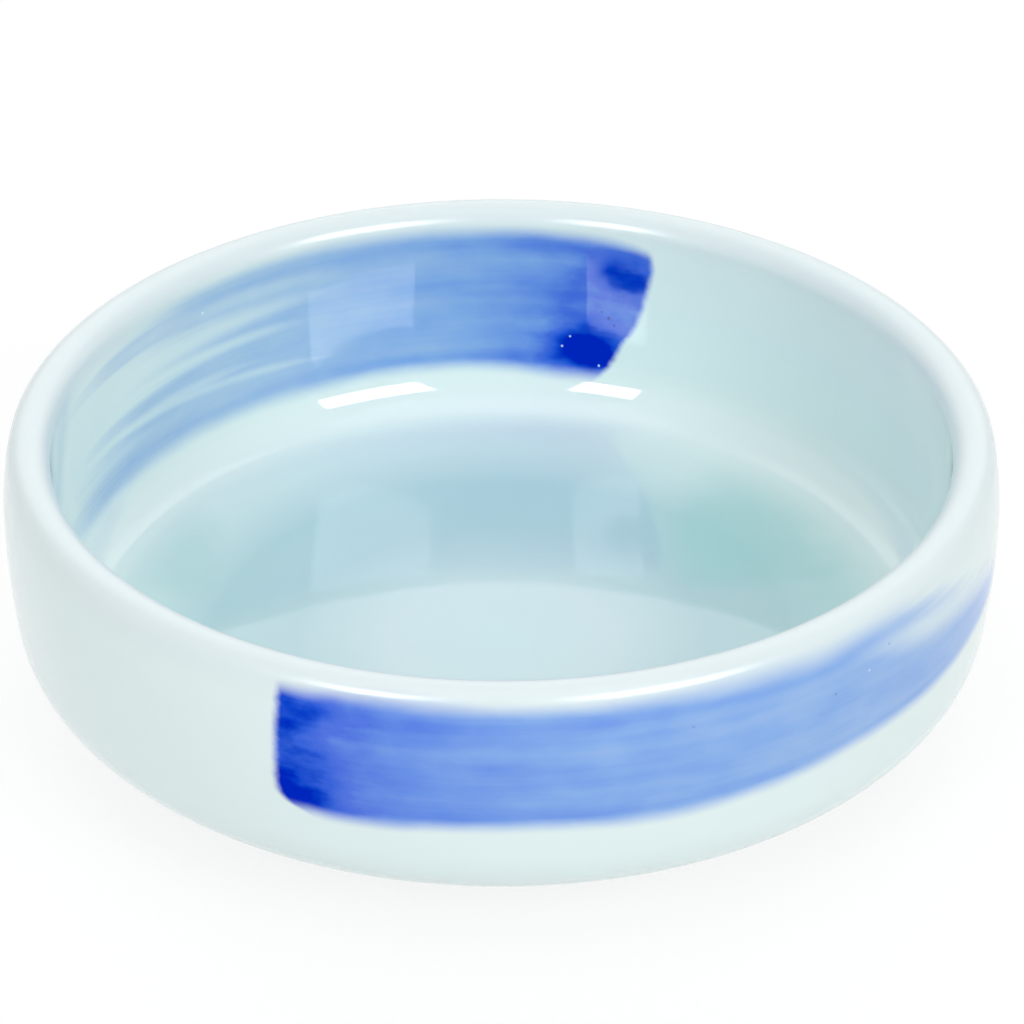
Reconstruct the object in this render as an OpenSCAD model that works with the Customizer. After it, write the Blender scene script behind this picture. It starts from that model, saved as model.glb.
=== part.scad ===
// Soy sauce dish: a small round porcelain bowl with a glaze coat, a wiped foot ring
// and one broad cobalt brush stroke on the outside and one on the inside.
// The origin is at the centre of the foot ring's contact plane and +Z points up.
// Turning angles are in degrees counter-clockwise from +X, and the photographed side faces -Y.

/* [Dish] */
// Widest diameter, at the shoulder a little below the lip
dish_d = 95; // [90:1:120]
// Height from the table to the crest of the lip
dish_h = 29.6; // [27:0.2:40]
// Thickness of the floor at its middle, glaze included
floor_t = 2.8; // [2.4:0.1:4.5]
// Rise of the dished floor from its middle to where the corner starts
floor_rise = 1.9; // [0.5:0.1:3]

/* [Lip] */
// How far the lip's crest stands in from the widest diameter
crest_in = 2.5; // [2.1:0.1:3.5]
// Radius of the lip on its outer side
lip_out_r = 1.88; // [1.2:0.04:2]
// Radius of the lip on its inner side
lip_in_r = 2.15; // [1.4:0.05:2.6]

/* [Wall] */
// Radius of the shoulder between the lip and the widest diameter
shoulder_r = 23.8; // [14:0.2:30]
// Radius of the nearly straight side below the shoulder
side_r = 76; // [60:1:120]
// Radius of the belly, where the side turns under
belly_r = 7.8; // [6:0.1:9]
// Slope of the underside between the belly and the foot, in degrees
underside_slope = 12; // [8:1:16]
// Radius of the inner wall's slight curve
inner_r = 1500; // [600:50:3000]
// Lean of the inner wall just below the lip, in degrees
inner_lean = 0.3; // [0.1:0.1:3]
// Radius of the inner corner between wall and floor
corner_r = 5.8; // [4:0.1:8]

/* [Foot] */
// Outer diameter of the foot ring at the table
foot_d = 60; // [54:0.5:64]
// Width of the foot ring at the table
foot_w = 3.8; // [3.4:0.1:5]
// Height of the foot ring on its outer side
foot_h = 3.3; // [2.6:0.1:4]
// Depth of the recess inside the foot ring
recess_h = 2.5; // [2.2:0.1:3]
// Lean of both sides of the foot ring, in degrees
foot_lean = 5; // [2:0.5:8]
// Radius where the foot ring's outer side meets the underside
neck_r = 1; // [0.6:0.1:1.2]
// Radius where the foot ring's inner side meets the recess
recess_r = 1; // [0.6:0.1:1.4]
// Radius of the foot ring's two bottom edges
toe_r = 0.8; // [0.4:0.1:1]

/* [Glaze] */
// Thickness of the glaze everywhere
glaze_t = 0.35; // [0.25:0.05:0.5]
// Height above the table at which the glaze is wiped off the foot ring
wipe_h = 1.1; // [0.8:0.1:1.3]

/* [Outer stroke] */
// Direction in which the loaded end of the outer stroke stands
outer_start_angle = -115; // [-180:0.1:180]
// Angle from the loaded end to the last point of the dry end
outer_sweep_angle = 101; // [40:0.1:160]
// Drop from the lip's crest to the upper edge of the outer stroke
outer_drop = 1.7; // [1.5:0.1:4]
// Breadth of the outer stroke down the wall
outer_breadth = 12.1; // [8:0.1:14]

/* [Inner stroke] */
// Direction in which the loaded end of the inner stroke stands
inner_start_angle = 69.2; // [-180:0.1:180]
// Angle from the loaded end to the last point of the dry end
inner_sweep_angle = 100.6; // [40:0.1:160]
// Drop from the lip's crest to the upper edge of the inner stroke
inner_drop = 2.5; // [2.2:0.1:4]
// Breadth of the inner stroke down the wall
inner_breadth = 15.2; // [8:0.1:15.4]

/* [Hidden] */
$fn = 180;

// Largest distance between a drawn arc and its chords
chord_gap = 0.01;
// How far a cut runs past what it cuts
overrun = 1;

// A brush leaves bands one below another, each as long as its bristles held paint.
// A row is the band's lower edge as a share of the stroke's breadth, then its start and its
// end as shares of the stroke's sweep. The band's upper edge is the row before.
outer_band_shares = [
    [0.07, 0.008, 0.71],
    [0.13, 0.003, 0.74],
    [0.24, 0, 0.725],
    [0.32, 0, 0.78],
    [0.40, 0.002, 0.84],
    [0.51, 0, 0.92],
    [0.70, 0, 1],
    [0.78, 0.001, 0.90],
    [0.84, 0.004, 0.74],
    [0.91, 0.007, 0.59],
    [0.96, 0.013, 0.43],
    [1, 0.023, 0.22],
];
inner_band_shares = [
    [0.11, 0.002, 0.67],
    [0.16, 0, 0.85],
    [0.31, 0.003, 0.72],
    [0.36, 0.008, 0.52],
    [0.48, 0.013, 0.58],
    [0.53, 0.018, 0.51],
    [0.69, 0.026, 0.78],
    [0.76, 0.036, 0.64],
    [0.81, 0.042, 0.81],
    [0.86, 0.047, 0.45],
    [1, 0.056, 1],
];
// Single bristles mark the dry end past the bands. A row is the mark's upper and lower edge
// as shares of the stroke's breadth, then its start and its end as shares of its sweep.
outer_mark_shares = [
    [0.05, 0.10, 0.76, 0.86],
];
inner_mark_shares = [
    [0.43, 0.47, 0.60, 0.69],
    [0.71, 0.74, 0.83, 0.93],
];

// Outer side: the lip, shoulder, side and belly arcs run into each other without a kink,
// and the belly runs into the straight underside, which passes through the foot's top.
dish_r = dish_d / 2;
crest_r = dish_r - crest_in;
lip_out_c = [crest_r, dish_h - lip_out_r];
lip_turn = asin((shoulder_r - crest_in) / (shoulder_r - lip_out_r));
shoulder_c = lip_out_c - (shoulder_r - lip_out_r) * [sin(lip_turn), cos(lip_turn)];
side_c = [dish_r - side_r, shoulder_c.y];
foot_r = foot_d / 2;
under_dir = [cos(underside_slope), sin(underside_slope)];
under_normal = [sin(underside_slope), -cos(underside_slope)];
under_point = [foot_r, foot_h];
belly_from = under_point - belly_r * under_normal - side_c;
belly_along = -under_dir * belly_from
    + sqrt((under_dir * belly_from) ^ 2 - belly_from * belly_from + (side_r - belly_r) ^ 2);
belly_c = side_c + belly_from + belly_along * under_dir;
side_turn = atan2(side_c.y - belly_c.y, belly_c.x - side_c.x);

// Foot ring: the neck arc touches the underside and the ring's outer side, and the
// recess arc touches the ring's inner side and the recess's ceiling.
foot_normal = [cos(foot_lean), -sin(foot_lean)];
neck_reach = under_normal * under_point + neck_r;
foot_reach = foot_normal.x * foot_r + neck_r;
neck_c = [
    (neck_reach * foot_normal.y - foot_reach * under_normal.y) / cross(under_normal, foot_normal),
    (foot_reach * under_normal.x - neck_reach * foot_normal.x) / cross(under_normal, foot_normal),
];
recess_c = [
    foot_r - foot_w - (recess_h - recess_r) * tan(foot_lean) - recess_r / cos(foot_lean),
    recess_h - recess_r,
];

// Inner side: the lip, wall, corner and floor arcs run into each other without a kink.
lip_in_c = [crest_r, dish_h - lip_in_r];
inner_c = lip_in_c - (lip_in_r + inner_r) * [cos(inner_lean), -sin(inner_lean)];
floor_z = recess_h + floor_t;
corner_z = floor_z + floor_rise + corner_r;
inner_turn = asin((inner_c.y - corner_z) / (inner_r - corner_r));
corner_c = [inner_c.x + (inner_r - corner_r) * cos(inner_turn), corner_z];
floor_r = (corner_c.x ^ 2 + (floor_rise + corner_r) ^ 2 - corner_r ^ 2) / (2 * floor_rise);
floor_c = [0, floor_z + floor_r];
floor_turn = asin(corner_c.x / (floor_r - corner_r));

function on_circle(c, r, a) = c + r * [cos(a), sin(a)];

// Points along an arc of radius r, moved out by grow, after its first point
function arc(c, r, grow, from, to) =
    let (n = max(2, ceil(abs(to - from) / (2 * acos(1 - chord_gap / r)))))
    [for (i = [1:n]) on_circle(c, r + grow, from + (to - from) * i / n)];

function backwards(points) = [for (i = [len(points) - 1:-1:0]) points[i]];

// A point on the foot ring's outer or inner side at height z, inset into the ring
function foot_out(z, inset) = [foot_r + z * tan(foot_lean) - inset / cos(foot_lean), z];
function foot_in(z, inset) = [foot_r - foot_w - z * tan(foot_lean) + inset / cos(foot_lean), z];

// The dish's surface from the middle of the floor up to the lip's crest
function bowl_outline(inset) = concat(
    [[0, floor_z - inset]],
    arc(floor_c, floor_r, inset, -90, floor_turn - 90),
    arc(corner_c, corner_r, inset, floor_turn - 90, -inner_turn),
    arc(inner_c, inner_r, inset, -inner_turn, -inner_lean),
    arc(lip_in_c, lip_in_r, -inset, 180 - inner_lean, 90)
);

// The dish's surface from just past the crest down to the top of the foot ring's outer side
function side_outline(inset) = concat(
    arc(lip_out_c, lip_out_r, -inset, 90, 90 - lip_turn),
    arc(shoulder_c, shoulder_r, -inset, 90 - lip_turn, 0),
    arc(side_c, side_r, -inset, 0, -side_turn),
    arc(belly_c, belly_r, -inset, -side_turn, underside_slope - 90),
    [on_circle(neck_c, neck_r + inset, 90 + underside_slope)],
    arc(neck_c, neck_r, inset, 90 + underside_slope, 180 - foot_lean)
);

// The recess's surface from the top of the foot ring's inner side to the dish's axis
function recess_outline(inset) = concat(
    [on_circle(recess_c, recess_r + inset, foot_lean)],
    arc(recess_c, recess_r, inset, foot_lean, 90),
    [[0, recess_h + inset]]
);

// The two rounded bottom edges of the foot ring, with the bare contact band between them
function toe_outline() =
    let (
        out_c = foot_out(toe_r, glaze_t + toe_r),
        in_c = foot_in(toe_r, glaze_t + toe_r)
    )
    concat(
        [on_circle(out_c, toe_r, -foot_lean)],
        arc(out_c, toe_r, 0, -foot_lean, -90),
        [on_circle(in_c, toe_r, -90)],
        arc(in_c, toe_r, 0, -90, foot_lean - 180)
    );

// Half section of the fired clay, one glaze thickness inside every glazed surface
module body_section() {
    polygon(concat(
        side_outline(glaze_t),
        toe_outline(),
        recess_outline(glaze_t),
        bowl_outline(glaze_t)
    ));
}

// Half section of the glaze inside the bowl, over the lip and down to the wiped foot
module coat_section() {
    polygon(concat(
        bowl_outline(0),
        side_outline(0),
        [foot_out(wipe_h, 0), foot_out(wipe_h, glaze_t)],
        backwards(side_outline(glaze_t)),
        backwards(bowl_outline(glaze_t))
    ));
}

// Half section of the glaze in the recess under the floor
module base_section() {
    polygon(concat(
        [foot_in(wipe_h, 0)],
        recess_outline(0),
        backwards(recess_outline(glaze_t)),
        [foot_in(wipe_h, glaze_t)]
    ));
}

// Half section of a stroke's band: from radius in_x to out_x, between two drops below the crest
module band_section(in_x, out_x, from_drop, to_drop) {
    polygon([
        [in_x, dish_h - from_drop],
        [out_x, dish_h - from_drop],
        [out_x, dish_h - to_drop],
        [in_x, dish_h - to_drop],
    ]);
}

// The space that a stroke takes: its bands one below another, and its single marks.
// A place is the stroke's direction, sweep, drop and breadth, and in_x and out_x span its glaze.
module stroke_space(place, in_x, out_x, bands, marks) {
    strips = concat(
        [for (i = [0:len(bands) - 1]) concat([i == 0 ? 0 : bands[i - 1][0]], bands[i])],
        marks
    );
    for (strip = strips)
        rotate_extrude(start = place[0] + place[1] * strip[2], angle = place[1] * (strip[3] - strip[2]))
            band_section(in_x, out_x, place[2] + place[3] * strip[0], place[2] + place[3] * strip[1]);
}

module outer_space() {
    stroke_space(
        [outer_start_angle, outer_sweep_angle, outer_drop, outer_breadth],
        crest_r, dish_r + overrun, outer_band_shares, outer_mark_shares
    );
}

module inner_space() {
    stroke_space(
        [inner_start_angle, inner_sweep_angle, inner_drop, inner_breadth],
        corner_c.x, crest_r, inner_band_shares, inner_mark_shares
    );
}

module whole_coat() {
    rotate_extrude() coat_section();
}

module porcelain_body() {
    color("#F1EDE4") rotate_extrude() body_section();
}

module glaze_coat() {
    color("#DCE9EA") difference() {
        whole_coat();
        outer_space();
        inner_space();
    }
}

module base_glaze() {
    color("#CFE1E4") rotate_extrude() base_section();
}

// Cobalt dissolves into the glaze over it, so a stroke takes the glaze's whole thickness.
module outer_stroke() {
    color("#7BA2E5") intersection() {
        whole_coat();
        outer_space();
    }
}

module inner_stroke() {
    color("#6C9CE4") intersection() {
        whole_coat();
        inner_space();
    }
}

porcelain_body();
glaze_coat();
base_glaze();
outer_stroke();
inner_stroke();
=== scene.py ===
import math
import bpy
import numpy as np
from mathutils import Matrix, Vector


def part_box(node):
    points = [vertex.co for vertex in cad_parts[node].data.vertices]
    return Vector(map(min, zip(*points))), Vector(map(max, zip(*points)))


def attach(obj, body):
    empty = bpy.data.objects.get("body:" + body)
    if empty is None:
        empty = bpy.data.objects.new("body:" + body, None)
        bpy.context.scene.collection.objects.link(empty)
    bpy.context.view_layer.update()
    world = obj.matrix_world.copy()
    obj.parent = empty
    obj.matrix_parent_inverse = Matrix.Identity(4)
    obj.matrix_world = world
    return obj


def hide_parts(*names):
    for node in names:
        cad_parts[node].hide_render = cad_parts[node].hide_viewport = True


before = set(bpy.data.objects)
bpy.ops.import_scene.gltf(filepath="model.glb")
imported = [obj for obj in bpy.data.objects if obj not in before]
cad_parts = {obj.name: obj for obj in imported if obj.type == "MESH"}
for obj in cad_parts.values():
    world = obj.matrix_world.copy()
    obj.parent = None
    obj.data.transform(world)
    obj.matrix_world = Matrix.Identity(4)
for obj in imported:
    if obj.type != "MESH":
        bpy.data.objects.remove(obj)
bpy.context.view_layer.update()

# Fired clay body
# The dish is one thrown and trimmed piece of white porcelain clay. Glaze covers it all but for
# the contact band of the foot ring, which is wiped bare so that the dish doesn't stick in the kiln.

# Lengths are in millimetres, angles in degrees, and heights above the table.
MM = 0.001
coat_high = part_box("glaze_coat")[1]
dish_r = coat_high.x / MM
dish_h = coat_high.z / MM

# The lip's crest stands crest_in inside the widest point, with an arc on each side of it.
crest_in = 2.5
crest_r = dish_r - crest_in
lip_out_r = 1.88
lip_in_r = 2.15

# Radii of the arcs down the outer side, and the slope of the underside
shoulder_r = 23.8
side_r = 76
belly_r = 7.8
underside_slope = 12

# The inner wall is almost straight and leans a little. The floor is floor_t thick in its middle and
# rises by floor_rise up to the rounded corner.
inner_r = 1500
inner_lean = 0.3
corner_r = 5.8
floor_t = 2.8
floor_rise = 1.9

# The foot ring has foot_r and foot_w where it stands on the table, and the underside meets its outer
# side at foot_h. Its neck and toe are the rounded edges at the top and the bottom.
foot_r = 30
foot_w = 3.8
foot_h = 3.3
foot_lean = 5
neck_r = 1
toe_r = 0.8
recess_h = 2.5
recess_r = 1

# How thick the glaze is, and how high up the foot ring it is wiped off
glaze_t = 0.35
wipe_h = 1.1

# Meridians are the columns of every turned piece. The first stands where no stroke is. A parallel
# smaller than pole_r closes to one point.
meridian_count = 300
first_meridian = -160
pole_r = 0.001


def ray(angle):
    """The unit vector (cos, sin) at an angle in degrees."""
    return np.array([math.cos(math.radians(angle)), math.sin(math.radians(angle))])


def arc(centre, radius, start, stop, steps, hollow=False):
    """Rows (radius, height, normal) along a circle in the half section: the centre plus radius times
    (cos, sin) of an angle that runs from start to stop. A hollow arc's normals point to its centre."""
    angles = np.radians(np.linspace(start, stop, steps + 1))
    rays = np.column_stack([np.cos(angles), np.sin(angles)])
    return np.hstack([centre + radius * rays, -rays if hollow else rays])


def straight(start, stop, normal, steps):
    """Rows (radius, height, normal) at even steps along the line from start to stop."""
    share = np.linspace(0, 1, steps + 1)[:, None]
    points = np.asarray(start) * (1 - share) + np.asarray(stop) * share
    return np.hstack([points, np.tile(normal, (steps + 1, 1))])


def joined(*stretches):
    """Stretches of rows end to end, each without its first row, which ends the stretch before."""
    return np.vstack([stretches[0]] + [rows[1:] for rows in stretches[1:]])


def backed(rows):
    """Rows with the matching point on the clay added: the point moved in by the glaze's thickness,
    along its normal."""
    return np.hstack([rows, rows[:, :2] - glaze_t * rows[:, 2:4]])


# Outer side, from the lip's crest to the top of the foot ring. Each arc touches the next.
lip_out_c = np.array([crest_r, dish_h - lip_out_r])
lip_turn = math.degrees(math.asin((shoulder_r - dish_r + crest_r) / (shoulder_r - lip_out_r)))
shoulder_c = lip_out_c - (shoulder_r - lip_out_r) * ray(90 - lip_turn)
side_c = np.array([dish_r - side_r, shoulder_c[1]])
slope_dir = ray(underside_slope)
slope_normal = ray(underside_slope - 90)
belly_from = np.array([foot_r, foot_h]) - belly_r * slope_normal - side_c
belly_along = -slope_dir @ belly_from + math.sqrt(
    (slope_dir @ belly_from) ** 2 - belly_from @ belly_from + (side_r - belly_r) ** 2
)
belly_c = side_c + belly_from + belly_along * slope_dir
side_turn = math.degrees(math.atan2(side_c[1] - belly_c[1], belly_c[0] - side_c[0]))
foot_normal = ray(-foot_lean)
neck_c = np.linalg.solve(
    np.array([slope_normal, foot_normal]),
    np.array([slope_normal @ [foot_r, foot_h] + neck_r, foot_normal[0] * foot_r + neck_r]),
)

# Inner side, from the middle of the floor to the crest
lip_in_c = np.array([crest_r, dish_h - lip_in_r])
inner_c = lip_in_c - (lip_in_r + inner_r) * ray(-inner_lean)
floor_z = recess_h + floor_t
corner_z = floor_z + floor_rise + corner_r
inner_turn = math.degrees(math.asin((inner_c[1] - corner_z) / (inner_r - corner_r)))
corner_c = np.array([inner_c[0] + (inner_r - corner_r) * ray(inner_turn)[0], corner_z])
floor_r = (corner_c[0] ** 2 + (floor_rise + corner_r) ** 2 - corner_r**2) / (2 * floor_rise)
floor_c = np.array([0, floor_z + floor_r])
floor_turn = math.degrees(math.asin(corner_c[0] / (floor_r - corner_r)))


def foot_out(z, inset=0):
    """The point of the foot ring's outer side at height z, inset into the ring."""
    return np.array([foot_r + z * math.tan(math.radians(foot_lean)), z]) - [inset / foot_normal[0], 0]


def foot_in(z, inset=0):
    """The point of the foot ring's inner side at height z, inset into the ring."""
    return np.array([2 * foot_r - foot_w, 2 * z]) - foot_out(z, inset)


# The last number of each stretch is how many steps it has: more where it bends more
bowl_rows = joined(
    arc(floor_c, floor_r, -90, floor_turn - 90, 26, hollow=True),
    arc(corner_c, corner_r, floor_turn - 90, -inner_turn, 20, hollow=True),
    arc(inner_c, inner_r, -inner_turn, -inner_lean, 28, hollow=True),
    arc(lip_in_c, lip_in_r, 180 - inner_lean, 90, 12),
)
side_rows = joined(
    arc(lip_out_c, lip_out_r, 90, 90 - lip_turn, 10),
    arc(shoulder_c, shoulder_r, 90 - lip_turn, 0, 14),
    arc(side_c, side_r, 0, -side_turn, 20),
    arc(belly_c, belly_r, -side_turn, underside_slope - 90, 18),
    straight(belly_c + belly_r * slope_normal, neck_c - neck_r * slope_normal, slope_normal, 8),
    arc(neck_c, neck_r, 90 + underside_slope, 180 - foot_lean, 6, hollow=True),
)

# The glaze ends on the foot ring in a rounded bead, as thick as the glaze.
bead_angles = np.radians(np.linspace(0, 75, 7))
bead_down = ray(-90 - foot_lean)


def bead(clay_point, outward, down):
    """Rows of the glaze's wiped edge: an arc about clay_point from outward towards down, as wide as
    the glaze is thick, each with its own point on the clay below it."""
    out_share, down_share = np.cos(bead_angles)[:, None], np.sin(bead_angles)[:, None]
    normals = out_share * outward + down_share * down
    return np.hstack(
        [clay_point + glaze_t * normals, normals, clay_point + glaze_t * down_share * down]
    )


skin_bead = bead(foot_out(wipe_h + glaze_t, glaze_t), foot_normal, bead_down)
foot_rows = backed(straight(neck_c - neck_r * foot_normal, skin_bead[0, :2], foot_normal, 3))
skin_rows = joined(backed(joined(bowl_rows, side_rows)), foot_rows, skin_bead)


def turned(name, rows, owned=None):
    """A closed mesh turned about the dish's axis, in metres. A row gives a parallel's radius, height
    and normal, and for a skin of glaze its radius and height on the clay. owned says which cells
    between the parallels and meridians the skin has, and its borders get walls down to the clay.
    Every corner keeps its direction, its drop below the crest and its way from the crest."""
    row_count = len(rows)
    at_pole = rows[:, 0] < pole_r
    if owned is None:
        owned = np.ones((row_count - 1, meridian_count), bool)

    # The four corners of each cell. A skin has them twice, outside and on the clay, and has a wall
    # of four more at each side of a cell that has no neighbour there.
    i, j = np.nonzero(owned)
    row = np.column_stack([i, i + 1, i + 1, i])
    column = np.column_stack([j, j, j + 1, j + 1])
    side = np.zeros_like(row)
    if rows.shape[1] == 6:
        around = np.pad(owned, 1)
        around[1:-1, 0], around[1:-1, -1] = owned[:, -1], owned[:, 0]
        walls = []
        for corner, (down, along) in enumerate(((0, -1), (1, 0), (0, 1), (-1, 0))):
            after = (corner + 1) % 4
            free = ~around[i + 1 + down, j + 1 + along]
            free &= ~(at_pole[row[:, corner]] & at_pole[row[:, after]])
            pair = [after, corner, corner, after]
            walls.append((row[free][:, pair], column[free][:, pair]))
        wall_row = np.vstack([w[0] for w in walls])
        wall_column = np.vstack([w[1] for w in walls])
        wall_side = np.tile([0, 0, 1, 1], (len(wall_row), 1))
        side = np.vstack([side, side + 1, wall_side])
        row = np.vstack([row, row[:, ::-1], wall_row])
        column = np.vstack([column, column[:, ::-1], wall_column])

    # Each corner's place and normal. A wall has the normal of its own plane.
    turn = first_meridian + 360 * column / meridian_count
    angle = np.radians(turn)
    flat = np.where(side == 0, rows[row, 0], rows[row, -2])
    height = np.where(side == 0, rows[row, 1], rows[row, -1])
    place = np.stack([flat * np.cos(angle), flat * np.sin(angle), height], -1)
    normal = np.stack([rows[row, 2] * np.cos(angle), rows[row, 2] * np.sin(angle), rows[row, 3]], -1)
    normal[side[:, 0] + side[:, 2] == 2] *= -1
    is_wall = side[:, 0] != side[:, 2]
    flat_normal = np.cross(place[is_wall, 2] - place[is_wall, 0], place[is_wall, 3] - place[is_wall, 1])
    flat_normal /= np.maximum(np.linalg.norm(flat_normal, axis=1, keepdims=True), 1e-12)
    normal[is_wall] = flat_normal[:, None, :]

    # What the materials read: the direction, the drop below the crest and the way from it along the
    # half section. The drop is negative on the inner side, and so is the way.
    crest = int(np.argmax(rows[:, 1]))
    steps = np.r_[0, np.cumsum(np.hypot(*np.diff(rows[:, :2], axis=0).T))]
    outside = np.where(np.arange(row_count) < crest, -1, 1)
    drop = outside * (rows[crest, 1] - rows[:, 1])
    way = steps - steps[crest]
    brush = np.stack([turn, drop[row], way[row]], -1)

    # Corners at one place are one vertex, and a cell at the pole loses the corner it has twice.
    number = (side * row_count + row) * meridian_count + column % meridian_count
    number = np.where(at_pole[row], (side * row_count + row) * meridian_count, number)
    keep = ~((number == np.roll(number, 1, 1)) & at_pole[row])
    _, first_seen, vertex = np.unique(number[keep], return_index=True, return_inverse=True)
    points = place[keep][first_seen] * MM
    ends = np.cumsum(keep.sum(1))
    faces = [part.tolist() for part in np.split(vertex.ravel(), ends[:-1])]
    mesh = bpy.data.meshes.new(name)
    mesh.from_pydata(points.tolist(), [], faces)
    mesh.polygons.foreach_set("use_smooth", np.ones(len(faces), bool))
    mesh.attributes.new("brush", "FLOAT_VECTOR", "CORNER").data.foreach_set(
        "vector", brush[keep].astype(np.float32).ravel()
    )
    mesh.normals_split_custom_set(normal[keep].tolist())
    made = bpy.data.objects.new(name, mesh)
    bpy.context.scene.collection.objects.link(made)
    return made


def colour(code):
    """The linear colour of an sRGB hex code: each channel c becomes c / 12.92 or
    ((c + 0.055) / 1.055) ^ 2.4."""
    shares = [int(code[i:i + 2], 16) / 255 for i in (1, 3, 5)]
    return [c / 12.92 if c <= 0.04045 else ((c + 0.055) / 1.055) ** 2.4 for c in shares] + [1]


def add(tree, kind, inputs=(), points=None, **settings):
    """Adds a node with its settings. inputs go by name or in order: a socket is linked, a node gives
    its first output, and any other is a value. points are the points of a curve or stops of a ramp."""
    made = tree.nodes.new("ShaderNode" + kind)
    for name, value in settings.items():
        setattr(made, name, value)
    for name, value in inputs.items() if isinstance(inputs, dict) else enumerate(inputs):
        if isinstance(value, bpy.types.Node):
            value = value.outputs[0]
        if isinstance(value, bpy.types.NodeSocket):
            tree.links.new(value, made.inputs[name])
        else:
            made.inputs[name].default_value = value
    if points and kind == "ValToRGB":
        stops = made.color_ramp.elements
        while len(stops) < len(points):
            stops.new(1)
        for stop, (at, code) in zip(stops, points):
            stop.position, stop.color = at, colour(code)
    elif points:
        curve = made.mapping.curves[0]
        while len(curve.points) < len(points):
            curve.points.new(1, 1)
        for knot, at in zip(curve.points, points):
            knot.location, knot.handle_type = at, "AUTO_CLAMPED"
        made.mapping.update()
    return made


def new_material(name):
    """An empty material, with its node tree and the shader that its look goes into."""
    made = bpy.data.materials.new(name)
    made.use_nodes = True
    made.node_tree.nodes.clear()
    shader = add(made.node_tree, "BsdfPrincipled")
    add(made.node_tree, "OutputMaterial", {"Surface": shader})
    return made, made.node_tree, shader


# Bisque-white porcelain, fired and unglazed: matt, faintly warm, with a fine sandy grain
def bare_porcelain():
    made, tree, shader = new_material("bare_porcelain")
    grain_mm = 0.4
    cloud_mm = 9
    place = add(tree, "TexCoord").outputs["Object"]
    grain = add(tree, "TexNoise", {"Vector": place, "Scale": 1 / (grain_mm * MM), "Detail": 3})
    cloud = add(tree, "TexNoise", {"Vector": place, "Scale": 1 / (cloud_mm * MM), "Detail": 2})
    tint = add(tree, "ValToRGB", (cloud,), points=[(0.3, "#E9E4DA"), (0.7, "#F1EDE4")])
    bump = add(tree, "Bump", {"Height": grain, "Strength": 0.35, "Distance": 0.05 * MM})
    tree.links.new(tint.outputs[0], shader.inputs["Base Color"])
    tree.links.new(bump.outputs[0], shader.inputs["Normal"])
    shader.inputs["Roughness"].default_value = 0.62
    shader.inputs["IOR"].default_value = 1.5
    return made


toe_out_c = foot_out(toe_r, glaze_t + toe_r)
toe_in_c = foot_in(toe_r, glaze_t + toe_r)
foot_in_normal = foot_normal * [-1, 1]
recess_c = foot_in(recess_h - recess_r, -recess_r)
bare_r = recess_r + glaze_t
clay_glazed = np.hstack([skin_rows[:, 4:6], skin_rows[:, 2:4]])
clay_glazed[-len(skin_bead):, 2:4] = foot_normal
clay_rows = joined(
    clay_glazed,
    straight(clay_glazed[-1, :2], toe_out_c + toe_r * foot_normal, foot_normal, 2),
    arc(toe_out_c, toe_r, -foot_lean, -90, 7),
    straight(toe_out_c - [0, toe_r], toe_in_c - [0, toe_r], [0, -1], 4),
    arc(toe_in_c, toe_r, -90, foot_lean - 180, 7),
    straight(toe_in_c + toe_r * foot_in_normal, recess_c - bare_r * foot_in_normal, foot_in_normal, 4),
    arc(recess_c, bare_r, foot_lean, 90, 8, hollow=True),
    straight(recess_c + [0, bare_r], [0, recess_h + glaze_t], [0, -1], 12),
)
fired_clay = turned("fired_clay", clay_rows)
fired_clay.data.materials.append(bare_porcelain())
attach(fired_clay, "root")
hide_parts("porcelain_body")

# Outer brush stroke
# One pull of a flat brush with cobalt wash round the outside, under the clear glaze. The loaded
# end leaves two dark pools, and the far end dries out into the marks of single bristles.

# The first direction and the sweep, then the drop below the crest and the breadth. Each band of
# bristles has its lower edge as a share of the breadth, and its start and end as shares of the sweep.
outer_sweep = (-115, 101)
outer_span = (1.7, 12.1)
outer_bands = (
    (0.07, 0.008, 0.71),
    (0.13, 0.003, 0.74),
    (0.24, 0, 0.725),
    (0.32, 0, 0.78),
    (0.40, 0.002, 0.84),
    (0.51, 0, 0.92),
    (0.70, 0, 1),
    (0.78, 0.001, 0.90),
    (0.84, 0.004, 0.74),
    (0.91, 0.007, 0.59),
    (0.96, 0.013, 0.43),
    (1, 0.023, 0.22),
)


def stroke_cells(outside, sweep, span, bands):
    """Which cells of the skin a stroke takes: those whose middle lies in one of its bands."""
    middles = (skin_rows[:-1] + skin_rows[1:]) / 2
    share = (dish_h - middles[:, 1] - span[0]) / span[1]
    crest = int(np.argmax(skin_rows[:, 1]))
    right_side = (np.arange(len(middles)) >= crest) == outside
    turn = first_meridian + 360 * (np.arange(meridian_count) + 0.5) / meridian_count
    way = (turn - sweep[0]) / sweep[1]
    owned = np.zeros((len(middles), meridian_count), bool)
    upper = 0
    for lower, start, stop in bands:
        rows_in = right_side & (share > upper) & (share <= lower)
        owned |= rows_in[:, None] & ((way > start) & (way < stop))[None, :]
        upper = lower
    return owned


# How far one degree reaches along the wall, in millimetres
degree_mm = dish_r * math.pi / 180


def edge(tree, value, points, span):
    """A hand-drawn edge: the curve through points, read at value, over span of its first coordinate."""
    lowest = min(p[1] for p in points)
    height = max(p[1] for p in points) - lowest
    shares = [((x - span[0]) / (span[1] - span[0]), (y - lowest) / height) for x, y in points]
    share = add(tree, "MapRange", (value, *span))
    read = add(tree, "FloatCurve", {"Value": share}, points=shares)
    return add(tree, "Math", (read, height, lowest), operation="MULTIPLY_ADD")


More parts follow.
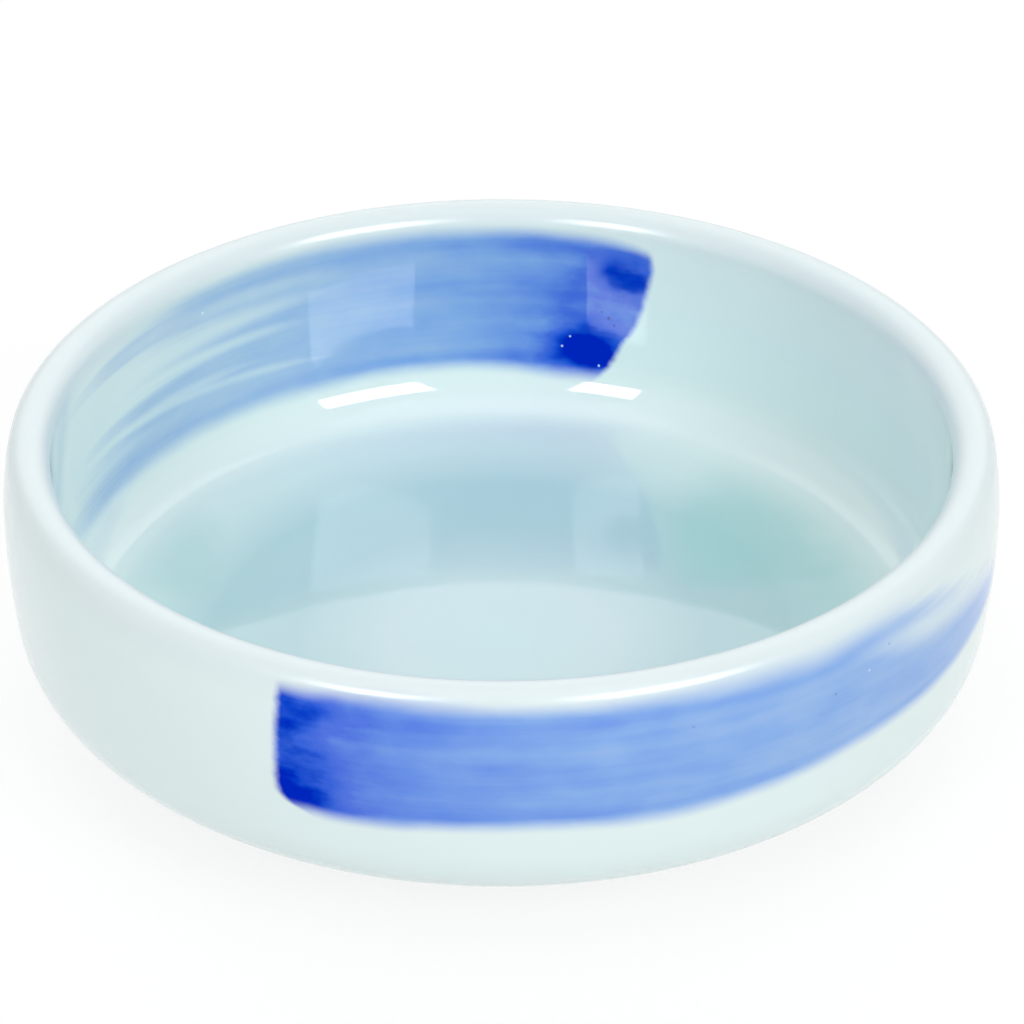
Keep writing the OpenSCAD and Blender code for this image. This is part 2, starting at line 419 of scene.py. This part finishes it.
def noise(tree, place, size, detail=2, roughness=0.5, seed=0):
    """Noise about 0, whose blots are size millimetres wide along the stroke, across it and through."""
    spread = [1 / s for s in size]
    shift = (seed, seed * 0.7, seed * 0.3)
    stretched = add(tree, "VectorMath", (place, spread, shift), operation="MULTIPLY_ADD")
    inputs = {"Vector": stretched, "Scale": 1, "Detail": detail, "Roughness": roughness}
    return add(tree, "Math", (add(tree, "TexNoise", inputs), 0.5), operation="SUBTRACT")


def brushed_cobalt(tree, turn, drop, stroke):
    """Cover, depth and dullness of one brush stroke, from 0 to 1, by the direction in degrees and the
    drop below the crest in millimetres. Cover is the product of a soft step at each edge. Depth is
    the tone along the stroke, plus its bristle bands, its pools and stretched noise. Dullness starts
    where the depth is more than the glaze takes in."""
    turns, drops, seed = stroke["turns"], stroke["drops"], stroke["seed"]

    # The wall laid flat, and on it the hand's wobble, the marks of tufts and of single bristles, blots
    # of wash, the ragged start and slow changes of tone, each by its real size
    flat = add(tree, "CombineXYZ", (add(tree, "Math", (turn, degree_mm), operation="MULTIPLY"), drop))
    wobble = noise(tree, flat, (7, 2.5, 1), 3, seed=seed)
    streak = noise(tree, flat, (26, 1, 1), 2, 0.6, seed=seed + 3)
    fine = noise(tree, flat, (14, 0.3, 1), 2, 0.6, seed=seed + 7)
    cloud = noise(tree, flat, (3.2, 2, 1), 3, 0.55, seed=seed + 11)
    ragged = noise(tree, flat, (0.9, 0.9, 1), seed=seed + 15)
    mottle = noise(tree, flat, (9, 3, 1), 2, seed=seed + 19)

    # How far a point is inside the upper edge, the lower edge, the start and the dry end
    edge_drop = add(tree, "Math", (wobble, 0.5, drop), operation="MULTIPLY_ADD")
    top_edge = edge(tree, turn, stroke["top"], turns)
    top = add(tree, "Math", (edge_drop, top_edge), operation="SUBTRACT")
    top = add(tree, "Math", (top, edge(tree, turn, stroke["top_soft"], turns)), operation="DIVIDE")
    bottom_edge = edge(tree, turn, stroke["bottom"], turns)
    bottom = add(tree, "Math", (bottom_edge, edge_drop), operation="SUBTRACT")
    start = add(tree, "Math", (turn, edge(tree, drop, stroke["start"], drops)), operation="SUBTRACT")
    start = add(tree, "Math", (ragged, 0.5, start), operation="MULTIPLY_ADD")
    bent = add(tree, "Math", (fine, 0.3, drop), operation="MULTIPLY_ADD")
    left = add(tree, "Math", (edge(tree, bent, stroke["end"], drops), turn), operation="SUBTRACT")
    dry = add(tree, "Math", (streak, stroke["dry_reach"], left), operation="MULTIPLY_ADD")
    dry = add(tree, "Math", (fine, stroke["dry_reach"] * 0.25, dry), operation="MULTIPLY_ADD")
    cover = 1
    fades = (top, -1, 1), (bottom, -1, 1), (start, -0.7, 0.7), (dry, 0, stroke["dry_fade"])
    for inside, low, high in fades:
        share = add(tree, "MapRange", (inside, low, high), interpolation_type="SMOOTHSTEP")
        cover = add(tree, "Math", (cover, share), operation="MULTIPLY")
    # A gap is a pale wedge along a leaning line. It opens over its first half and stays open.
    for turn_from, turn_to, drop_from, drop_to, tall, share in stroke["gaps"]:
        lean = (drop_to - drop_from) / (turn_to - turn_from)
        across = add(tree, "Math", (turn, -lean, edge_drop), operation="MULTIPLY_ADD")
        across = add(tree, "Math", (across, drop_from - lean * turn_from), operation="SUBTRACT")
        across = add(tree, "Math", (across,), operation="ABSOLUTE")
        open_from = (turn, turn_from, (turn_from + turn_to) / 2)
        opened = add(tree, "MapRange", open_from, interpolation_type="SMOOTHSTEP")
        wide = add(tree, "Math", (opened, tall * 0.7, tall * 0.3), operation="MULTIPLY_ADD")
        across = add(tree, "Math", (across, wide), operation="DIVIDE")
        inside = add(tree, "MapRange", (across, 1.2, 0), interpolation_type="SMOOTHSTEP")
        inside = add(tree, "Math", (inside, opened), operation="MULTIPLY")
        kept = add(tree, "Math", (inside, -share, 1), operation="MULTIPLY_ADD")
        cover = add(tree, "Math", (cover, kept), operation="MULTIPLY")

    # Blots are strong near the loaded end and weaken over the first 20 degrees.
    depth = edge(tree, turn, stroke["tone"], turns)
    near_start = add(tree, "MapRange", (start, 20, 1, 0.08, 0.34), interpolation_type="SMOOTHSTEP")
    for pattern, share in (streak, 0.1), (fine, 0.03), (mottle, 0.16), (cloud, near_start):
        depth = add(tree, "Math", (pattern, share, depth), operation="MULTIPLY_ADD")
    for at_drop, tall, more in stroke["bands"]:
        across = add(tree, "Math", (edge_drop, at_drop), operation="SUBTRACT")
        across = add(tree, "Math", (across,), operation="ABSOLUTE")
        band = add(tree, "MapRange", (across, tall, 0, 0, more), interpolation_type="SMOOTHSTEP")
        depth = add(tree, "Math", (depth, band), operation="ADD")
    # A pool is an oval whose outline wavers, deepest in its middle
    for at_turn, at_drop, wide, tall, dark in stroke["pools"]:
        scale = (1 / wide, 1 / tall, 0)
        shift = (-at_turn * degree_mm / wide, -at_drop / tall, 0)
        far = add(tree, "VectorMath", (flat, scale, shift), operation="MULTIPLY_ADD")
        far = add(tree, "VectorMath", (far,), operation="LENGTH").outputs["Value"]
        far = add(tree, "Math", (wobble, 0.9, far), operation="MULTIPLY_ADD")
        pool = add(tree, "MapRange", (far, 1.7, 0.2, 0, dark), interpolation_type="SMOOTHSTEP")
        depth = add(tree, "Math", (depth, pool), operation="ADD")
    takes_in, lies_on_top = 0.74, 0.96
    dull = add(tree, "MapRange", (depth, takes_in, lies_on_top), interpolation_type="SMOOTHSTEP")
    return cover, depth, add(tree, "Math", (cover, dull), operation="MULTIPLY")


def clear_glaze(name, strokes):
    """Pale blue-green feldspar glaze over white porcelain, with the strokes' cobalt dissolved in it.
    It is glossy, softer on the lip where it thins, and deeper in colour where it ran together. Where
    more cobalt pooled than the glaze takes in, it lies on top and mirrors next to nothing."""
    glossy, thinned = 0.035, 0.25
    lip_reach, lip_core = 4.5, 2.5
    cloud_mm, ripple_mm, ripple_deep = 14, 7, 0.018
    corner_way, floor_way = -24, -31
    made, tree, shader = new_material(name)
    brush = add(tree, "Attribute", attribute_name="brush").outputs["Vector"]
    turn, drop, way = add(tree, "SeparateXYZ", (brush,)).outputs
    place = add(tree, "TexCoord").outputs["Object"]
    stops = [((w - glaze_ways[0]) / (glaze_ways[1] - glaze_ways[0]), c) for w, c in glaze_and_lip_shade_tints]
    tint = add(tree, "ValToRGB", (add(tree, "MapRange", (way, *glaze_ways)),), points=stops).outputs[0]
    # A pool of glaze is an oval that clouds bend, deepest in its middle, and it lies on the floor.
    cloud = add(tree, "TexNoise", {"Vector": place, "Scale": 1 / (cloud_mm * MM), "Detail": 2})
    on_floor = add(tree, "MapRange", (way, corner_way, floor_way), interpolation_type="SMOOTHSTEP")
    for at_x, at_y, wide, tall, share in glaze_pools:
        scale = (1 / (wide * MM), 1 / (tall * MM), 0)
        shift = (-at_x / wide, -at_y / tall, 0)
        far = add(tree, "VectorMath", (place, scale, shift), operation="MULTIPLY_ADD")
        far = add(tree, "VectorMath", (far, far), operation="DOT_PRODUCT").outputs["Value"]
        far = add(tree, "Math", (cloud, 1.6, far), operation="MULTIPLY_ADD")
        thick = add(tree, "MapRange", (far, 1.8, 0.8, 0, share), interpolation_type="SMOOTHSTEP")
        thick = add(tree, "Math", (thick, on_floor), operation="MULTIPLY")
        layers = {"Factor": thick, "A": tint, "B": colour(glaze_pool_tint)}
        tint = add(tree, "Mix", layers, data_type="RGBA").outputs["Result"]
    from_crest = add(tree, "Math", (way,), operation="ABSOLUTE")
    thin_lip = (from_crest, lip_reach, lip_core, glossy, thinned)
    rough = add(tree, "MapRange", thin_lip, interpolation_type="SMOOTHSTEP")
    mirror = 0.5  # the shader's own level, which a pool of cobalt takes away
    for stroke in strokes:
        stroke_drop = add(tree, "Math", (drop, stroke["side"]), operation="MULTIPLY")
        cover, depth, dull = brushed_cobalt(tree, turn, stroke_drop, stroke)
        cobalt = add(tree, "ValToRGB", (depth,), points=cobalt_tints)
        layers = {"Factor": cover, "A": tint, "B": cobalt}
        tint = add(tree, "Mix", layers, data_type="RGBA").outputs["Result"]
        mirror = add(tree, "Math", (dull, -0.5, mirror), operation="MULTIPLY_ADD")
    flat = add(tree, "CombineXYZ", (add(tree, "Math", (turn, degree_mm), operation="MULTIPLY"), drop))
    for at_turn, at_drop, wide, code in glaze_specks:
        centre = (at_turn * degree_mm, at_drop, 0)
        far = add(tree, "VectorMath", (flat, centre), operation="DISTANCE").outputs["Value"]
        speck = add(tree, "MapRange", (far, wide, 0.2 * wide), interpolation_type="SMOOTHSTEP")
        layers = {"Factor": speck, "A": tint, "B": colour(code)}
        tint = add(tree, "Mix", layers, data_type="RGBA").outputs["Result"]
    ripple = add(tree, "TexNoise", {"Vector": place, "Scale": 1 / (ripple_mm * MM), "Detail": 1})
    bump = add(tree, "Bump", {"Height": ripple, "Strength": 1, "Distance": ripple_deep * MM})
    tree.links.new(tint, shader.inputs["Base Color"])
    tree.links.new(rough.outputs[0], shader.inputs["Roughness"])
    tree.links.new(bump.outputs[0], shader.inputs["Normal"])
    shader.inputs["IOR"].default_value = 1.52
    if strokes:
        tree.links.new(mirror.outputs[0], shader.inputs["Specular IOR Level"])
    return made


# The glaze's colour by the way from the crest in millimetres, negative on the inner side
glaze_ways = (-62, 62)
glaze_and_lip_shade_tints = [
    (-62, "#C4DEE3"),
    (-53, "#C5DCE1"),
    (-44, "#B4D2D8"),
    (-36, "#B6D6DA"),
    (-30, "#D2E8E8"),
    (-24, "#DFEFEE"),
    (-14, "#DDEFEF"),
    (-5, "#DFEDEE"),
    # Painted shade: greyer, darker tints over the crest, which the lamps overhead light most
    (-2, "#DAE6E9"),
    (1, "#D9E5E7"),
    (5, "#DCEBEB"),
    (24, "#DCECEB"),
    (40, "#D5E9EA"),
]

# Where the glaze ran together on the floor: place and reach in millimetres, and how much
glaze_pool_tint = "#9CCFCF"
glaze_pools = [
    (25, 18, 13, 13, 0.6),
    (35, 5, 9, 14, 0.45),
    (-35, 12, 9, 14, 0.45),
    (1, 21, 12, 8, 0.12),
]

# Iron specks and pinholes as fired: direction, drop (negative inside), width in millimetres, colour
glaze_specks = [
    (76.1, -11.0, 0.2, "#2A3C9E"),
    (75.1, -11.6, 0.26, "#1A2A80"),
    (74.3, -12.4, 0.2, "#2A3C9E"),
    (80.5, -14.2, 0.18, "#C4DAF4"),
    (81.6, -15.4, 0.2, "#C4DAF4"),
    (76.4, -17.3, 0.2, "#C4DAF4"),
    (134.4, -5.0, 0.22, "#EDF6F8"),
    (-50.8, 6.4, 0.24, "#6E8EC8"),
    (-42.3, 4.2, 0.2, "#8CA8D8"),
    (-45.7, 5.7, 0.2, "#BCD0F0"),
    (-69.0, 5.0, 0.2, "#7392CC"),
]

# Cobalt in the glaze, from a thin wash to a pool
cobalt_tints = [
    (0.0, "#C4DBEA"),
    (0.22, "#A8C6E4"),
    (0.45, "#7CA6E2"),
    (0.6, "#5886DF"),
    (0.72, "#3866DA"),
    (0.84, "#1C58D6"),
    (0.92, "#0844C8"),
    (1.0, "#0026BC"),
]

# A stroke's material by direction in degrees and drop below the crest in millimetres. side is -1 on
# the inner wall, and seed keeps its noises apart from the other stroke's. turns and drops are what
# its curves reach over: top, bottom, start and end are its edges, top_soft is how far the upper one
# fades, and tone is its depth of colour. A pool has its place, reach both ways and depth. A gap has
# its directions, drops, height and how pale it is. A band has its drop, half height and depth.
# dry_reach and dry_fade are how ragged and how long the dry end is.
outer_stroke = {
    "side": 1,
    "seed": 1.5,
    "turns": (-118, -8),
    "drops": (0, 16),
    "top": [
        (-118, 1.8), (-113, 1.8), (-107, 1.4), (-100, 1.45), (-90, 1.6), (-80, 1.75), (-68, 1.75),
        (-60, 1.8), (-52, 2.1), (-46, 1.9), (-36, 2.3), (-27, 2.9), (-8, 3.8),
    ],
    "top_soft": [
        (-118, 0.9), (-108, 1.0), (-100, 1.25), (-90, 1.0), (-74, 1.1), (-62, 1.7), (-40, 1.6),
        (-8, 1.4),
    ],
    "bottom": [
        (-118, 14.2), (-112, 14.1), (-108, 14.3), (-102, 14.2), (-96, 13.9), (-84, 13.8), (-72, 14.0),
        (-62, 13.8), (-54, 13.4), (-44, 12.9), (-34, 12.8), (-24, 12.3), (-8, 11.4),
    ],
    "start": [
        (0, -115), (3, -115), (6, -115.1), (11, -115.2), (12.4, -115), (13.3, -114.3), (14.2, -112.4),
        (16, -108),
    ],
    "end": [(0, -34), (2.5, -28), (4, -22), (6, -15), (8, -6), (12, -3), (14, -10), (16, -24)],
    "tone": [
        (-118, 0.87), (-113, 0.82), (-108, 0.69), (-102, 0.61), (-94, 0.53), (-80, 0.47), (-62, 0.42),
        (-40, 0.39), (-24, 0.4), (-8, 0.42),
    ],
    "pools": [(-113, 4.4, 3.2, 2.6, 0.09), (-112.6, 11.8, 4.4, 3.2, 0.17)],
    "gaps": [(-52, -14, 3.1, 7.3, 2.5, 0.7)],
    "bands": [(3.4, 1.2, 0.05), (6, 1.2, -0.03), (8.4, 1.2, 0.02), (12.6, 1.3, 0.05)],
    "dry_reach": 10,
    "dry_fade": 14,
}
outer_cells = stroke_cells(True, outer_sweep, outer_span, outer_bands)
outer_brush_stroke = turned("outer_brush_stroke", skin_rows, outer_cells)
outer_brush_stroke.data.materials.append(clear_glaze("cobalt_under_glaze_outside", [outer_stroke]))
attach(outer_brush_stroke, "root")
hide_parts("outer_stroke")

# Inner brush stroke
# A second pull of the same brush with the same cobalt, along the far inner wall. Its loaded end
# slants, and its dry end breaks into long separate streaks.

inner_sweep = (69.2, 100.6)
inner_span = (2.5, 15.2)
inner_bands = (
    (0.11, 0.002, 0.67),
    (0.16, 0, 0.85),
    (0.31, 0.003, 0.72),
    (0.36, 0.008, 0.52),
    (0.48, 0.013, 0.58),
    (0.53, 0.018, 0.51),
    (0.69, 0.026, 0.78),
    (0.76, 0.036, 0.64),
    (0.81, 0.042, 0.81),
    (0.86, 0.047, 0.45),
    (1, 0.056, 1),
)
inner_stroke = {
    "side": -1,
    "seed": 8.5,
    "turns": (65, 175),
    "drops": (2, 19),
    "top": [
        (65, 3.8), (69, 3.6), (72, 3.1), (76.5, 2.7), (82, 2.5), (90, 2.35), (104, 2.25), (121, 2.3),
        (134, 2.3), (145, 2.5), (175, 3),
    ],
    "top_soft": [(65, 0.9), (80, 1.0), (100, 1.1), (115, 0.9), (135, 0.7), (175, 0.9)],
    "bottom": [
        (65, 17.6), (75, 18.1), (78, 18.5), (90, 17.95), (100, 17.75), (106, 17.75), (114, 18.0),
        (128, 18.1), (145, 18.4), (160, 18.8), (175, 18.6),
    ],
    "start": [
        (2, 69.6), (3.9, 69.2), (5.2, 69), (7, 69.4), (8.8, 69.9), (10.7, 70.6), (12.6, 71.6),
        (14.5, 73.2), (16.2, 74.2), (17.4, 75.1), (19, 77),
    ],
    "end": [
        (2, 151), (3.6, 158), (4.6, 174), (5.7, 158), (7.5, 149), (9, 154), (10.1, 151), (11.4, 166),
        (12.6, 168), (14, 168), (15.5, 171), (17.5, 177), (19, 178),
    ],
    "tone": [
        (65, 0.64), (76, 0.62), (85, 0.57), (92, 0.48), (98, 0.42), (108, 0.36), (120, 0.26),
        (140, 0.21), (175, 0.21),
    ],
    "pools": [
        (72.6, 6.6, 4.5, 2.1, 0.36), (77.9, 15.6, 4.4, 2.8, 0.44), (79.6, 11.2, 3.0, 3.0, 0.1),
        (73, 11.9, 3.2, 2.6, 0.08),
    ],
    "gaps": [
        (108, 150, 4.9, 5.2, 1.0, 0.3),
        (128, 160, 3.8, 4.5, 1.2, 0.45),
        (110, 150, 6.9, 8.2, 1.5, 0.62),
        (112, 150, 9.9, 9.7, 0.9, 0.62),
        (121, 152, 12.9, 12.9, 0.8, 0.45),
        (110, 142, 14.9, 13.5, 0.7, 0.45),
    ],
    "bands": [
        (3.8, 1.0, 0.06), (5.6, 0.9, -0.04), (8.2, 1.0, 0.02), (10.6, 1.0, -0.02), (16.8, 1.4, 0.07),
    ],
    "dry_reach": 12,
    "dry_fade": 26,
}
inner_cells = stroke_cells(False, inner_sweep, inner_span, inner_bands)
inner_brush_stroke = turned("inner_brush_stroke", skin_rows, inner_cells)
inner_brush_stroke.data.materials.append(clear_glaze("cobalt_under_glaze_inside", [inner_stroke]))
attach(inner_brush_stroke, "root")
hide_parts("inner_stroke")

# Glaze coat
# Clear feldspar glaze over everything else, from one dip inside and out, ending at the wiped foot.
# Where a stroke is, its cobalt melted into the glaze's whole thickness, so the coat stops there.

glazed_surface = turned("glazed_surface", skin_rows, ~(outer_cells | inner_cells))
glazed_surface.data.materials.append(clear_glaze("pale_celadon_glaze", [outer_stroke, inner_stroke]))
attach(glazed_surface, "root")
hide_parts("glaze_coat")

# Glaze in the foot's recess
# The same dip of clear glaze in the recess under the floor, parted from the coat when the foot ring
# was wiped. It ends in the same bead at the wiped ring.

recess_bead = bead(foot_in(wipe_h + glaze_t, glaze_t), foot_in_normal, bead_down * [-1, 1])
recess_rows = joined(
    backed(straight([0, recess_h], recess_c + [0, recess_r], [0, -1], 14)),
    backed(arc(recess_c, recess_r, 90, foot_lean, 8, hollow=True)),
    backed(straight(recess_c - recess_r * foot_in_normal, recess_bead[0, :2], foot_in_normal, 1)),
    recess_bead,
)
foot_recess_glaze = turned("foot_recess_glaze", recess_rows[::-1])
foot_recess_glaze.data.materials.append(clear_glaze("pale_celadon_glaze_under_foot", []))
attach(foot_recess_glaze, "root")
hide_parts("base_glaze")

# Camera
# It stands about half a metre from the dish, a third of a right angle above the table, with a long
# lens. The small shift puts the dish where the photograph has it.

camera_pitch = 31.34
camera_far = 517.75
target_drop = 9.5
target = np.array([0, 0, dish_h - target_drop])
camera_data = bpy.data.cameras.new("camera")
camera = bpy.data.objects.new("camera", camera_data)
bpy.context.scene.collection.objects.link(camera)
back = np.array([0, -ray(camera_pitch)[0], ray(camera_pitch)[1]])
camera.location = (target + camera_far * back) * MM
camera.rotation_euler = (math.radians(90 - camera_pitch), 0, 0)
camera_data.sensor_width = 36
camera_data.lens = 189.9
camera_data.shift_x = 0.0102
camera_data.shift_y = -0.0018
camera_data.clip_start = 0.01
camera_data.clip_end = 20
bpy.context.scene.camera = camera

# Lamps and table
# Two soft boxes stand either side of the camera in a pale room. A white screen behind the dish and
# a soft box overhead fill the shadows, and the table is a white board.


def softbox(name, azimuth, elevation, far, width, height, radiance, shine):
    """An area lamp that lights the dish from a direction in degrees, far metres away, and just before
    it a second one that only the glaze mirrors, as bright as a flash box looks."""
    direction = np.append(ray(elevation)[0] * ray(azimuth), ray(elevation)[1])
    for part, bright, nearer in (("light", radiance, 0), ("shine", shine, 0.03)):
        data = bpy.data.lights.new(f"{name}_{part}", "AREA")
        data.shape = "RECTANGLE"
        data.size, data.size_y = width, height
        data.energy = bright * width * height * math.pi
        made = bpy.data.objects.new(f"{name}_{part}", data)
        bpy.context.scene.collection.objects.link(made)
        made.location = direction * (far - nearer)
        made.rotation_euler = (math.radians(90 - elevation), 0, math.radians(azimuth + 90))
        made.visible_camera = False
        made.visible_glossy = part == "shine"
        made.visible_diffuse = part == "light"


# Direction and elevation, distance, width and height in metres, then how bright it is as a light
# and how bright the glaze mirrors it
box_far, box_light, box_shine = 1.2, 5.3, 14
softbox("right_softbox", -53.8, 32.4, box_far, 0.535, 0.434, box_light, box_shine)
softbox("left_softbox", -119.6, 32.3, box_far, 0.305, 0.45, box_light, box_shine)
softbox("back_screen", 90, 44, 1.6, 2.4, 1.6, 0.8, 0.74)
softbox("top_softbox", -90, 80, 1.6, 1.4, 1.0, 0.6, 0.8)


def seen_directly(tree):
    """1 where the camera, a mirror or clear glass sees the surface, and 0 where it lights something:
    the largest of the three kinds of ray."""
    path = add(tree, "LightPath").outputs
    seen = add(tree, "Math", (path["Is Camera Ray"], path["Is Transmission Ray"]), operation="MAXIMUM")
    return add(tree, "Math", (seen, path["Is Glossy Ray"]), operation="MAXIMUM")


# The room lights the dish evenly with room_light, and is seen as white
room_light = 0.56
world = bpy.data.worlds.new("pale_room")
world.use_nodes = True
bpy.context.scene.world = world
room = world.node_tree
room.nodes.clear()
lit_by = add(room, "Background", (colour("#FFFFFF"), room_light))
seen_as = add(room, "Background", (colour("#FFFFFF"), 1))
either = add(room, "MixShader", (seen_directly(room), lit_by, seen_as))
add(room, "OutputWorld", {"Surface": either})

table_mesh = bpy.data.meshes.new("table_top")
reach = 3.0
table_corners = [(-reach, -reach, 0), (reach, -reach, 0), (reach, reach, 0), (-reach, reach, 0)]
table_mesh.from_pydata(table_corners, [], [(0, 1, 2, 3)])
table_top = bpy.data.objects.new("table_top", table_mesh)
bpy.context.scene.collection.objects.link(table_top)

# Matt white board. The eye takes it as pure white, and only a fifth of the dish's shadow shows on it.
glow_share, glow_strength = 0.8, 1.03
matt_white_board = bpy.data.materials.new("matt_white_board")
matt_white_board.use_nodes = True
board = matt_white_board.node_tree
board.nodes.clear()
matt = add(board, "BsdfDiffuse", {"Color": colour("#F4F4F4")})
glow = add(board, "Emission", {"Color": colour("#FFFFFF"), "Strength": glow_strength})
share = add(board, "Math", (seen_directly(board), glow_share), operation="MULTIPLY")
both = add(board, "MixShader", (share, matt, glow))
add(board, "OutputMaterial", {"Surface": both})
table_mesh.materials.append(matt_white_board)

bpy.context.scene.view_settings.view_transform = "Standard"
